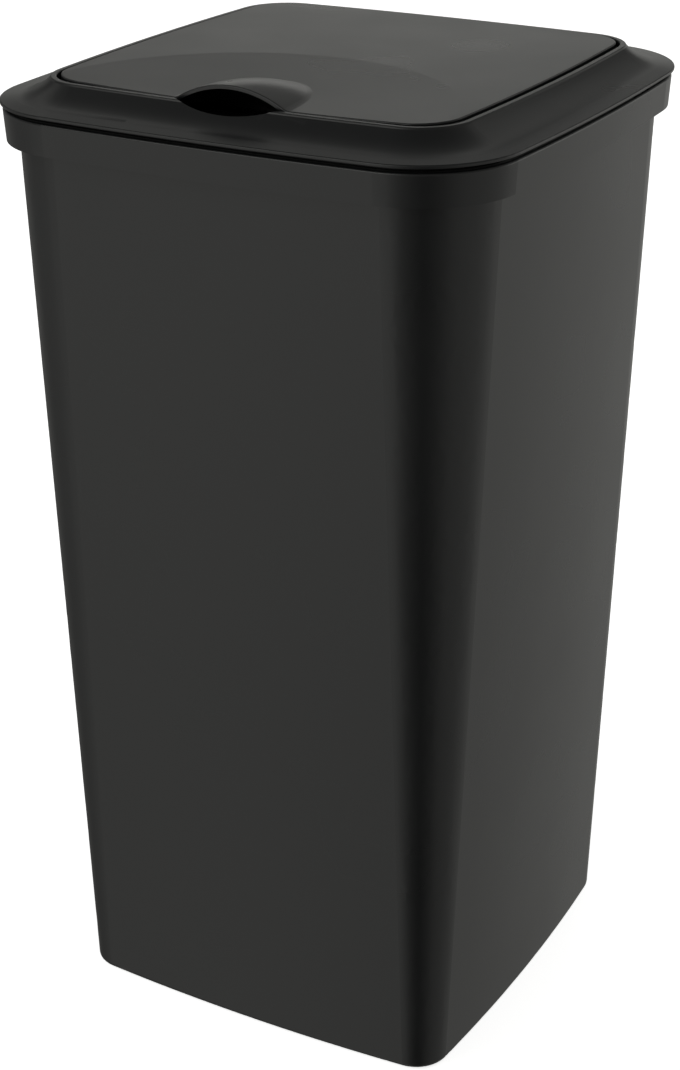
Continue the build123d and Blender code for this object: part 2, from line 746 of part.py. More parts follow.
with BuildPart() as latch_cover:
    with Locations((0, latch_front_y + latch_cover_thick / 2, latch_bottom_z + cover_height / 2)):
        Box(2 * (latch_half + cover_arm_clear + cover_arm), latch_cover_thick, cover_height)
    for side in (-1, 1):
        with Locations((side * (latch_half + cover_arm_clear + cover_arm / 2), window_y + window_back / 2, window_z)):
            Box(cover_arm, window_back + window_width, window_height - 2 * window_clear)
        with Locations((side * (latch_half + cover_arm_clear - cover_barb / 2), window_y, window_z)):
            Box(cover_barb, window_width - 2 * window_clear, window_height - 2 * window_clear)
    with BuildSketch(Plane.XZ.offset(-cover_front_y)):
        with Locations((0, follower_pivot_z)):
            Circle(follower_wire + pin_clear)
    extrude(amount=latch_cover_thick, mode=Mode.SUBTRACT)
latch_cover.part.label = "latch_cover"
export_step(latch_cover.part, "parts/latch_cover.step")

heart_flank_x = heart_lobe_x + math.sqrt(heart_lobe**2 - heart_flank**2)
with BuildPart() as latch_slider:
    # block below, and two jaws above it whose barbs grip the post's head
    with BuildSketch(Plane.XZ.offset(-slider_front_y)):
        with BuildLine():
            Polyline((0, slider_bottom_z), (slider_half, slider_bottom_z), (slider_half, jaw_top_z),
                     (jaw_inner_x, jaw_top_z), (barb_tip_x, barb_bottom_z + barb_tip),
                     (barb_tip_x, barb_bottom_z), (jaw_inner_x, barb_bottom_z),
                     (jaw_inner_x, slider_top_z), (0, slider_top_z))
            mirror(about=Plane.YZ)
        make_face()
    extrude(amount=slider_thick)
    # heart-shaped cam standing in a sunk track
    with BuildSketch(Plane.XZ.offset(-slider_front_y)):
        with Locations((0, track_mid_z)):
            RectangleRounded(2 * track_half, track_height, track_round)
        with Locations((-heart_lobe_x, heart_z), (heart_lobe_x, heart_z)):
            Circle(heart_lobe, mode=Mode.SUBTRACT)
        with BuildLine():
            Polyline((0, heart_z + heart_notch), (heart_lobe_x, heart_z), (heart_flank_x, heart_z - heart_flank),
                     (0, heart_z - heart_point))
            mirror(about=Plane.YZ)
        make_face(mode=Mode.SUBTRACT)
    extrude(amount=track_depth, mode=Mode.SUBTRACT)
    with Locations((0, spring_y, (slider_bottom_z + spring_bore_top_z) / 2)):
        Cylinder(spring_bore, spring_bore_top_z - slider_bottom_z, mode=Mode.SUBTRACT)
latch_slider.part.label = "latch_slider"
export_step(latch_slider.part, "parts/latch_slider.step")

with BuildPart() as latch_follower:
    with BuildLine() as wire_path:
        FilletPolyline((0, cover_front_y - follower_end, follower_pivot_z), (0, follower_y, follower_pivot_z),
                       (0, follower_y, follower_tip_z),
                       (0, slider_front_y - track_depth + follower_tip_clear, follower_tip_z),
                       radius=follower_bend)
    with BuildSketch(Plane(wire_path.line @ 0, z_dir=wire_path.line % 0)):
        Circle(follower_wire)
    sweep(path=wire_path.line)
latch_follower.part.label = "latch_follower"
export_step(latch_follower.part, "parts/latch_follower.step")

spring_height = spring_bore_top_z - latch_floor_z - 2 * (spring_wire + spring_end_clear)
with BuildPart() as latch_spring:
    with BuildLine(Plane((0, spring_y, latch_floor_z + spring_wire + spring_end_clear))) as spring_path:
        Helix(spring_height / spring_turns, spring_height, spring_radius)
    with BuildSketch(Plane(spring_path.line @ 0, z_dir=spring_path.line % 0)):
        RegularPolygon(spring_wire, wire_sides)
    sweep(path=spring_path.line, is_frenet=True)
latch_spring.part.label = "latch_spring"
export_step(latch_spring.part, "parts/latch_spring.step")

with BuildPart() as latch_screws:
    screw_seat_y = latch_face_y + ear_plate
    with BuildSketch(Plane.XZ.offset(-screw_seat_y - screw_head_height)):
        with Locations(*latch_screw_places):
            Circle(screw_head_radius)
    extrude(amount=screw_head_height)
    chamfer(latch_screws.edges().group_by(Axis.Y)[-1], head_bevel)
    with BuildSketch(Plane.XZ.offset(-screw_seat_y)):
        with Locations(*latch_screw_places):
            Circle(screw_radius)
    extrude(amount=ear_plate + latch_screw_bite)
latch_screws.part.label = "latch_screws"
export_step(latch_screws.part, "parts/latch_screws.step")
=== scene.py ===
"""Push-top countertop bin: finishes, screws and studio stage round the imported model."""
import json
import math

import bmesh
import bpy
from mathutils import Matrix, Vector


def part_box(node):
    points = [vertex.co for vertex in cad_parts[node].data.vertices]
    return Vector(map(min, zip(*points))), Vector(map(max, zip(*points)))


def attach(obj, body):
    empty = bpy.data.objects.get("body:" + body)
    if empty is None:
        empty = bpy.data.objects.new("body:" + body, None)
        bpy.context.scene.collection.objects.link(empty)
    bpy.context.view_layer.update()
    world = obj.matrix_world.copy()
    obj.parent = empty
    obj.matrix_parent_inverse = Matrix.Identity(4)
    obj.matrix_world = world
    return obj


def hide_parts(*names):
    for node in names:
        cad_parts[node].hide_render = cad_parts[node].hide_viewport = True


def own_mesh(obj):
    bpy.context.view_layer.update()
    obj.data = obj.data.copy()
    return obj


bl_info = {
    "name": "Push-top bin",
    "version": (1, 0, 0),
    "blender": (4, 5, 0),
    "location": "3D View > Sidebar > Bin",
    "description": "Finishes, screws and studio stage of a push-top countertop bin",
    "category": "Object",
}

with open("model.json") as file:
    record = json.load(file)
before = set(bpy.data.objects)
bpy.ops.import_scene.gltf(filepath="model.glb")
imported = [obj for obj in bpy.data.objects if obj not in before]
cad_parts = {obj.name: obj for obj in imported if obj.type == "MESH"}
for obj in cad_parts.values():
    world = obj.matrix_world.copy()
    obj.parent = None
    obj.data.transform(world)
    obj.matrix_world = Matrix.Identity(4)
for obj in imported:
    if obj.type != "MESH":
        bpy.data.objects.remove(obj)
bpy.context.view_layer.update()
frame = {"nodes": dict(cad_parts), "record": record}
nodes = frame["nodes"]

MM = 0.001

# The view is made for a frame of 680 by 1070 px, whose long side is the sensor's width.
CAMERA_PLACE = (0.31454, -0.56448, 0.43928)
CAMERA_YAW = 29.35
CAMERA_PITCH = 24.42
CAMERA_ROLL = -0.32
CAMERA_LENS = 74.16
SENSOR_WIDTH = 36.0
NEAR_CLIP = 0.02

# Lamps: place and the share of the key lamp's power. Both look at one point of the bin's axis.
KEY_LAMP = ((-1.3, -0.9, 1.3), 1.0)
BACK_LAMP = ((0.5, 1.4, 1.4), 0.7)
LAMP_SIZE = 1.6
LAMP_TARGET = (0, 0, 0.15)
FLOOR_GLOW = 0.78   # lifts the floor to the backdrop's white for the camera alone

# What the glossy skin mirrors: painted reflections, put in the world for glossy rays alone, that light
# nothing and set the highlights and dark bands on the black plastic. Angles in degrees, each with a
# brightness, where 1 is white.
# Round the room, seen from above, from the back past the left, the front and the right.
PAINTED_REFLECTION_WALLS = ((-180, 0.50), (-150, 0.18), (-112, 0.20), (-90, 0.22), (-62, 0.46), (-42, 0.90),
              (-16, 1.0), (6, 0.34), (33, 0.08), (57, 0.27), (75, 0.48), (150, 0.53), (180, 0.50))
# Up and down: the painted floor reflection dims the walls below the horizon, the painted roof reflection
# takes over above it, and the two blend between the angles of HORIZON.
PAINTED_REFLECTION_FLOOR = ((-90, 0.45), (-38, 0.64), (-26, 0.81), (-17, 0.95), (0, 0.95))
PAINTED_REFLECTION_ROOF = ((0, 0.62), (5, 0.42), (9, 0.42), (12.5, 0.10), (15, 0.04), (20, 0.12),
             (25, 0.22), (29, 0.46), (36, 0.22), (53, 0.15), (90, 0.10))
HORIZON = (-4, 6)
# Cards painted into the reflections: from and to round it, from and to upwards, in degrees, and a
# brightness. The front, right and back cards are painted highlights and glints, seen in glossy rays alone
# and lighting nothing. The left flag is painted shade in the reflections, and its number is the share that
# it takes away from what is mirrored there.
FRONT_PAINTED_GLINT = (-50, 8, 12, 38, 2.0)
RIGHT_PAINTED_GLINT = (122, 164, -8, 11, 0.9)
BACK_PAINTED_GLINT = (-168, -134, 7, 12, 0.85)
LEFT_PAINTED_SHADE = (-150, -98, -8, 18, 0.55)
PAINTED_CARD_EDGE = 0.2   # soft share at each side


# ---- small helpers ----
def linear(code):
    """Linear RGBA of an sRGB hex colour."""
    parts = [int(code[i:i + 2], 16) / 255 for i in (1, 3, 5)]
    return (*[c / 12.92 if c <= 0.04045 else ((c + 0.055) / 1.055) ** 2.4 for c in parts], 1.0)


def add_node(tree, kind, inputs=None, **settings):
    """A node with its settings, its values and the links into it."""
    node = tree.nodes.new(kind)
    for name, value in settings.items():
        setattr(node, name, value)
    for name, value in (inputs or {}).items():
        if isinstance(value, bpy.types.NodeSocket):
            tree.links.new(value, node.inputs[name])
        else:
            node.inputs[name].default_value = value
    return node


def new_material(name):
    """Empty node material, and its tree."""
    material = bpy.data.materials.new(name)
    material.use_nodes = True
    material.node_tree.nodes.clear()
    return material, material.node_tree


def brightness_by_angle(tree, angle, stops):
    """Brightness that follows an angle, given as pairs of degrees and brightness."""
    low, high = stops[0][0], stops[-1][0]
    share = add_node(tree, "ShaderNodeMapRange", {
        "Value": angle, "From Min": math.radians(low), "From Max": math.radians(high)})
    ramp = add_node(tree, "ShaderNodeValToRGB", {"Fac": share.outputs["Result"]})
    stop_list = ramp.color_ramp.elements
    for stop, (degrees, brightness) in enumerate(stops):
        if stop >= len(stop_list):
            stop_list.new(1.0)
        stop_list[stop].position = (degrees - low) / (high - low)
        stop_list[stop].color = (brightness, brightness, brightness, 1.0)
    return ramp.outputs["Color"]


def painted_card_brightness(tree, around, above, card):
    """Brightness of one soft-edged card of painted reflection, by the angles round it and upwards."""
    left, right, low, high, brightness = card
    side, rise = PAINTED_CARD_EDGE * (right - left), PAINTED_CARD_EDGE * (high - low)
    across = brightness_by_angle(tree, around, (
        (-180, 0), (left, 0), (left + side, 1), (right - side, 1), (right, 0), (180, 0)))
    upright = brightness_by_angle(tree, above, (
        (-90, 0), (low, 0), (low + rise, brightness), (high - rise, brightness), (high, 0), (90, 0)))
    return add_node(tree, "ShaderNodeMath", {0: across, 1: upright}, operation="MULTIPLY").outputs["Value"]


def finish_node(name, material):
    """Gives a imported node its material."""
    piece = nodes[name]
    piece.data.materials.clear()
    piece.data.materials.append(material)
    return piece


def new_piece(name, mesh, material):
    """Object at the origin from a bmesh, which is freed."""
    data = bpy.data.meshes.new(name)
    mesh.to_mesh(data)
    mesh.free()
    data.materials.append(material)
    piece = bpy.data.objects.new(name, data)
    bpy.context.scene.collection.objects.link(piece)
    return piece


# ---- screws ----
# Radius of thread, radius of head and height of head in millimetres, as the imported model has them.
SCREW_SIZES = {"large": (1.3, 2.5, 1.5), "small": (1.0, 1.9, 1.2)}
TURN_STEPS = 24        # steps in one turn of what is spun, screws and spring
THREAD_PITCH = 1.0
THREAD_DEPTH = 0.3
TIP_HEIGHT = 0.8
CROWN = 0.62           # flat top, as a share of the head's radius
RECESS_ARM = 0.85      # reach of the cross, and half its arm's width, as shares of the flat top
RECESS_HALF = 0.2
RECESS_DEPTH = 0.6     # as a share of the head's height
RECESS_TAPER = 0.6
SCREW_TWIST = 0.7      # radians that each screw is turned on from the last
SCREW_SHARP = 35       # degrees between faces from which an edge is sharp


def ring_edges(mesh, height):
    """Edges of the open loop at one height."""
    return [edge for edge in mesh.edges
            if edge.is_boundary and all(abs(v.co.z - height) < 0.01 for v in edge.verts)]


def spin_profile(mesh, points, turns=1.0, rise=0.0, closed=False):
    """Turns a profile of radii and heights about Z, climbing by rise in each turn."""
    corners = [mesh.verts.new((radius, 0.0, height)) for radius, height in points]
    edges = [mesh.edges.new(pair) for pair in zip(corners, corners[1:])]
    if closed:
        edges.append(mesh.edges.new((corners[-1], corners[0])))
    bmesh.ops.spin(mesh, geom=corners + edges, cent=(0, 0, 0), axis=(0, 0, 1),
                   dvec=(0, 0, rise / TURN_STEPS), angle=math.tau * turns,
                   steps=round(TURN_STEPS * turns), use_merge=rise == 0.0)


def pan_screw(size, length):
    """Mesh of one pan-head screw: its head bears on z = 0 and its thread runs up Z, in millimetres."""
    radius, head, height = SCREW_SIZES[size]
    root = radius - THREAD_DEPTH
    crown = CROWN * head
    mesh = bmesh.new()
    spin_profile(mesh, [(root, 0), (0.96 * head, 0), (head, -0.12 * height), (head, -0.5 * height),
                        (0.9 * head, -0.82 * height), (crown, -height)])
    rim = ring_edges(mesh, -height)
    # the cross recess: a square, each side drawn out into an arm, sunk and drawn in towards its foot
    arm, half = RECESS_ARM * crown, RECESS_HALF * crown
    made = bmesh.ops.create_grid(mesh, x_segments=1, y_segments=1, size=half,
                                 matrix=Matrix.Translation((0, 0, -height)))
    middle = made["verts"][0].link_faces[0]
    for side in list(middle.edges):
        out = (side.verts[0].co + side.verts[1].co) / 2 * Vector((1, 1, 0))
        drawn = bmesh.ops.extrude_edge_only(mesh, edges=[side])["geom"]
        bmesh.ops.translate(mesh, vec=out.normalized() * (arm - half),
                            verts=[v for v in drawn if isinstance(v, bmesh.types.BMVert)])
    cross = list({face for v in middle.verts for face in v.link_faces})
    mouth = [edge for edge in {edge for face in cross for edge in face.edges} if edge.is_boundary]
    bmesh.ops.triangle_fill(mesh, edges=rim + mouth, use_beauty=True)
    sunk = bmesh.ops.extrude_face_region(mesh, geom=cross)["geom"]
    foot = [v for v in sunk if isinstance(v, bmesh.types.BMVert)]
    bmesh.ops.delete(mesh, geom=cross, context="FACES_ONLY")
    bmesh.ops.scale(mesh, vec=(RECESS_TAPER, RECESS_TAPER, 1.0), verts=foot)
    bmesh.ops.translate(mesh, vec=(0, 0, RECESS_DEPTH * height), verts=foot)
    # shank, blunt tip and thread
    spin_profile(mesh, [(root, 0), (root, length - TIP_HEIGHT), (0.35 * root, length - 0.15), (0, length)])
    turns = (length - TIP_HEIGHT) / THREAD_PITCH - 1
    spin_profile(mesh, [(root - 0.05, 0), (radius, 0.5 * THREAD_PITCH), (root - 0.05, 0.6 * THREAD_PITCH)],
                 turns=turns, rise=THREAD_PITCH, closed=True)
    bmesh.ops.holes_fill(mesh, edges=[edge for edge in mesh.edges if edge.is_boundary], sides=3)
    bmesh.ops.remove_doubles(mesh, verts=mesh.verts, dist=0.001)
    bmesh.ops.recalc_face_normals(mesh, faces=mesh.faces)
    data = bpy.data.meshes.new("pan_screw")
    mesh.to_mesh(data)
    mesh.free()
    return data


def screw_set(node, size, axis, drive):
    """Piece for a node of screws, one at each corner of its box, that drive up or down one axis."""
    low, high = (Vector(corner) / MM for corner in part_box(node))
    head, height = SCREW_SIZES[size][1:]
    screw = pan_screw(size, high[axis] - low[axis] - height)
    bearing = low[axis] + height if drive > 0 else high[axis] - height
    across = [i for i in range(3) if i != axis]
    mesh = bmesh.new()
    spots = [(a, b) for a in {round(low[across[0]] + head, 2), round(high[across[0]] - head, 2)}
             for b in {round(low[across[1]] + head, 2), round(high[across[1]] - head, 2)}]
    for turn, (a, b) in enumerate(sorted(spots)):
        place = Vector()
        place[axis], place[across[0]], place[across[1]] = bearing, a, b
        way = Vector()
        way[axis] = drive
        first = len(mesh.verts)
        mesh.from_mesh(screw)
        mesh.verts.ensure_lookup_table()
        stand = Vector((0, 0, 1)).rotation_difference(way).to_matrix().to_4x4()
        twist = Matrix.Rotation(SCREW_TWIST * turn, 4, "Z")
        matrix = Matrix.Scale(MM, 4) @ Matrix.Translation(place) @ stand @ twist
        bmesh.ops.transform(mesh, matrix=matrix, verts=mesh.verts[first:])
    bpy.data.meshes.remove(screw)
    piece = new_piece(f"pan_{node}", mesh, material_for("zinc_plated_steel"))
    piece.data.shade_smooth()
    piece.data.set_sharp_from_angle(angle=math.radians(SCREW_SHARP))
    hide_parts(node)
    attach(piece, next(body for body, names in frame["record"]["behaviour"]["bodies"].items()
                        if node in names))


# ---- latch spring ----
SPRING_WIRE = 0.3      # radius of the wire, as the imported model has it
SPRING_TURNS = 4
WIRE_SIDES = 10
WIRE_SHARP = 60        # degrees between faces from which an edge is sharp


def round_wire_spring(low, high):
    """Mesh of a compression spring between two corners, which are given in millimetres."""
    bottom, top = low.z + SPRING_WIRE, high.z - SPRING_WIRE
    radius = (high.x - low.x) / 2 - SPRING_WIRE
    ring = [math.tau * step / WIRE_SIDES for step in range(WIRE_SIDES)]
    section = [(radius + SPRING_WIRE * math.cos(turn), SPRING_WIRE * math.sin(turn)) for turn in ring]
    mesh = bmesh.new()
    spin_profile(mesh, section, turns=SPRING_TURNS, rise=(top - bottom) / SPRING_TURNS, closed=True)
    bmesh.ops.holes_fill(mesh, edges=[edge for edge in mesh.edges if edge.is_boundary], sides=0)
    bmesh.ops.recalc_face_normals(mesh, faces=mesh.faces)
    bmesh.ops.translate(mesh, vec=((low.x + high.x) / 2, (low.y + high.y) / 2, bottom), verts=mesh.verts)
    bmesh.ops.scale(mesh, vec=(MM, MM, MM), verts=mesh.verts)
    return mesh


def latch_spring_piece():
    """Piece that stands for the latch's spring, attached to the lid."""
    low, high = (Vector(corner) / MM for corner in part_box("latch_spring"))
    mesh = round_wire_spring(low, high)
    piece = new_piece("round_wire_latch_spring", mesh, material_for("spring_steel"))
    piece.data.shade_smooth()
    piece.data.set_sharp_from_angle(angle=math.radians(WIRE_SHARP))
    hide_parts("latch_spring")
    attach(piece, "lid")
    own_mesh(piece)


# ---- materials ----
SURFACE_RELIEF = 0.02 * MM   # height of grain and marks
GRAIN_BUMP = 0.12
MARKS_BUMP = 0.15
MARKS_SIZE = 0.4             # tumbling marks, draw lines and clouds in millimetres
LINES_SIZE = 0.25
CLOUD_SIZE = 4


def moulded_polypropylene():
    # Polypropylene filled with carbon black, injection moulded in a finely stoned tool: a deep
    # near-black body under a satin skin, whose grain only breaks up the edge of a reflection.
    look = bpy.context.scene.bin_look
    material, tree = new_material("moulded_polypropylene_black")
    place = add_node(tree, "ShaderNodeTexCoord").outputs["Object"]
    grain = add_node(tree, "ShaderNodeTexNoise", {
        "Vector": place, "Scale": 1 / (look.grain_size * MM), "Detail": 3.0, "Roughness": 0.6})
    flow = add_node(tree, "ShaderNodeTexNoise", {
        "Vector": place, "Scale": 1 / (look.flow_size * MM), "Detail": 2.0, "Roughness": 0.5})
    colour = add_node(tree, "ShaderNodeMix", {
        "Factor": flow.outputs["Fac"], "A": linear(look.plastic_dark), "B": linear(look.plastic_light)},
        data_type="RGBA")
    gloss = add_node(tree, "ShaderNodeMapRange", {
        "Value": flow.outputs["Fac"], "To Min": look.plastic_roughness - 0.05,
        "To Max": look.plastic_roughness + 0.06})
    bump = add_node(tree, "ShaderNodeBump", {
        "Height": grain.outputs["Fac"], "Strength": GRAIN_BUMP, "Distance": SURFACE_RELIEF})
    shader = add_node(tree, "ShaderNodeBsdfPrincipled", {
        "Base Color": colour.outputs["Result"], "Roughness": gloss.outputs["Result"],
        "Normal": bump.outputs["Normal"], "IOR": 1.49})
    add_node(tree, "ShaderNodeOutputMaterial", {"Surface": shader.outputs["BSDF"]})
    return material


def moulded_acetal(name, dark, light, shading):
    """Acetal that clouds between two tones, with the rest of its shader's values."""
    material, tree = new_material(name)
    place = add_node(tree, "ShaderNodeTexCoord").outputs["Object"]
    cloud = add_node(tree, "ShaderNodeTexNoise", {
        "Vector": place, "Scale": 1 / (CLOUD_SIZE * MM), "Detail": 2.0})
    colour = add_node(tree, "ShaderNodeMix", {
        "Factor": cloud.outputs["Fac"], "A": linear(dark), "B": linear(light)}, data_type="RGBA")
    shader = add_node(tree, "ShaderNodeBsdfPrincipled", {
        "Base Color": colour.outputs["Result"], "IOR": 1.48, **shading})
    add_node(tree, "ShaderNodeOutputMaterial", {"Surface": shader.outputs["BSDF"]})
    return material


def natural_acetal():
    # Acetal without pigment, moulded: milky off-white, slippery and faintly see-through at its edges.
    return moulded_acetal("natural_acetal_white", "#dad7cd", "#e6e4dc", {
        "Roughness": 0.32, "Subsurface Weight": 0.15, "Subsurface Scale": 0.6 * MM})


def black_acetal():
    # Acetal coloured with carbon black, moulded in a polished tool: black and slippery, with a
    # closer, brighter sheen than the polypropylene round it.
    return moulded_acetal("black_acetal", "#0d0d0e", "#141416", {"Roughness": 0.24})


def zinc_plated_steel():
    # Cold-headed steel screws and cut pins, barrel plated with bright zinc: pale and faintly blue,
    # with tumbling marks about a tenth of a millimetre across.
    material, tree = new_material("zinc_plated_steel")
    place = add_node(tree, "ShaderNodeTexCoord").outputs["Object"]
    marks = add_node(tree, "ShaderNodeTexNoise", {
        "Vector": place, "Scale": 1 / (MARKS_SIZE * MM), "Detail": 3.0})
    gloss = add_node(tree, "ShaderNodeMapRange", {
        "Value": marks.outputs["Fac"], "From Min": 0.3, "From Max": 0.7, "To Min": 0.22, "To Max": 0.36})
    bump = add_node(tree, "ShaderNodeBump", {
        "Height": marks.outputs["Fac"], "Strength": MARKS_BUMP, "Distance": SURFACE_RELIEF})
    shader = add_node(tree, "ShaderNodeBsdfPrincipled", {
        "Base Color": linear("#c9ced4"), "Metallic": 1.0, "Roughness": gloss.outputs["Result"],
        "Normal": bump.outputs["Normal"]})
    add_node(tree, "ShaderNodeOutputMaterial", {"Surface": shader.outputs["BSDF"]})
    return material


def drawn_spring_wire():
    # Patented spring wire, drawn and left bright: darker than the plated parts, with fine draw lines.
    material, tree = new_material("drawn_spring_steel")
    place = add_node(tree, "ShaderNodeTexCoord").outputs["Object"]
    lines = add_node(tree, "ShaderNodeTexNoise", {
        "Vector": place, "Scale": 1 / (LINES_SIZE * MM), "Detail": 2.0})
    gloss = add_node(tree, "ShaderNodeMapRange", {
        "Value": lines.outputs["Fac"], "From Min": 0.3, "From Max": 0.7, "To Min": 0.24, "To Max": 0.4})
    shader = add_node(tree, "ShaderNodeBsdfPrincipled", {
        "Base Color": linear("#9d9c9a"), "Metallic": 1.0, "Roughness": gloss.outputs["Result"]})
    add_node(tree, "ShaderNodeOutputMaterial", {"Surface": shader.outputs["BSDF"]})
    return material


MAKERS = {
    "black_polypropylene": moulded_polypropylene,
    "natural_acetal": natural_acetal,
    "black_acetal": black_acetal,
    "zinc_plated_steel": zinc_plated_steel,
    "spring_steel": drawn_spring_wire,
}
made_materials = {}


def material_for(slot):
    """The one material of a slot of the record, made when it is first asked for."""
    if slot not in made_materials:
        made_materials[slot] = MAKERS[slot]()
    return made_materials[slot]


# ---- sizes and colours that a user would change ----
class BinLook(bpy.types.PropertyGroup):
    """Finish of the plastic."""
    plastic_dark: bpy.props.StringProperty(
        name="Dark tone", description="Deeper tone of the black plastic, sRGB hex", default="#0c0d0e")
    plastic_light: bpy.props.StringProperty(
        name="Light tone", description="Lighter tone of the black plastic, sRGB hex", default="#151617")
    plastic_roughness: bpy.props.FloatProperty(
        name="Roughness", description="Roughness of the plastic's skin", default=0.28, min=0.05, max=1.0,
        subtype="FACTOR")
    grain_size: bpy.props.FloatProperty(
        name="Grain", description="Size of the tool's stoning grain in millimetres", default=0.5, min=0.1)
    flow_size: bpy.props.FloatProperty(
        name="Flow", description="Size of the flow clouds in millimetres", default=45.0, min=5.0)


class BinStage(bpy.types.PropertyGroup):
    """Studio round the bin."""
    floor_size: bpy.props.FloatProperty(
        name="Floor", description="Width of the floor", default=40.0, min=2.0, unit="LENGTH")
    key_power: bpy.props.FloatProperty(
        name="Key power", description="Power of the soft lamp at the left", default=14.0, min=0.0,
        unit="POWER")
    fill: bpy.props.FloatProperty(
        name="Fill", description="Strength of the even light from all round", default=0.45, min=0.0)


# ---- one operator for each group of pieces ----
class BIN_OT_bucket(bpy.types.Operator):
    """Finish the tapered bucket"""
    bl_idname = "bin.bucket"
    bl_label = "Bucket"

    def execute(self, context):
        finish_node("bin_body", material_for("black_polypropylene"))
        return {"FINISHED"}


class BIN_OT_lid(bpy.types.Operator):
    """Finish the lid surround"""
    bl_idname = "bin.lid"
    bl_label = "Lid surround"

    def execute(self, context):
        finish_node("lid_surround", material_for("black_polypropylene"))
        return {"FINISHED"}


class BIN_OT_flap(bpy.types.Operator):
    """Finish the flap and its liner"""
    bl_idname = "bin.flap"
    bl_label = "Flap"

    def execute(self, context):
        for name in ("flap_panel", "flap_liner"):
            finish_node(name, material_for("black_polypropylene"))
        return {"FINISHED"}


class BIN_OT_hinge(bpy.types.Operator):
    """Finish the hinge caps, pins and springs"""
    bl_idname = "bin.hinge"
    bl_label = "Hinge"

    def execute(self, context):
        for side in ("left", "right"):
            finish_node(f"hinge_cap_{side}", material_for("black_polypropylene"))
            finish_node(f"hinge_pin_{side}", material_for("zinc_plated_steel"))
            finish_node(f"torsion_spring_{side}", material_for("spring_steel"))
        return {"FINISHED"}


class BIN_OT_latch(bpy.types.Operator):
    """Finish the push latch"""
    bl_idname = "bin.latch"
    bl_label = "Push latch"

    def execute(self, context):
        for name in ("latch_housing", "latch_cover"):
            finish_node(name, material_for("black_polypropylene"))
        finish_node("latch_slider", material_for("natural_acetal"))
        finish_node("latch_post", material_for("black_acetal"))
        finish_node("latch_follower", material_for("spring_steel"))
        latch_spring_piece()
        return {"FINISHED"}


class BIN_OT_screws(bpy.types.Operator):
    """Model the screws, with their recesses and threads"""
    bl_idname = "bin.screws"
    bl_label = "Screws"

    def execute(self, context):
        screw_set("hinge_cap_screws", "large", 2, 1)
        screw_set("flap_liner_screws", "large", 2, 1)
        screw_set("latch_post_screws", "small", 2, 1)
        screw_set("latch_screws", "large", 1, -1)
        return {"FINISHED"}


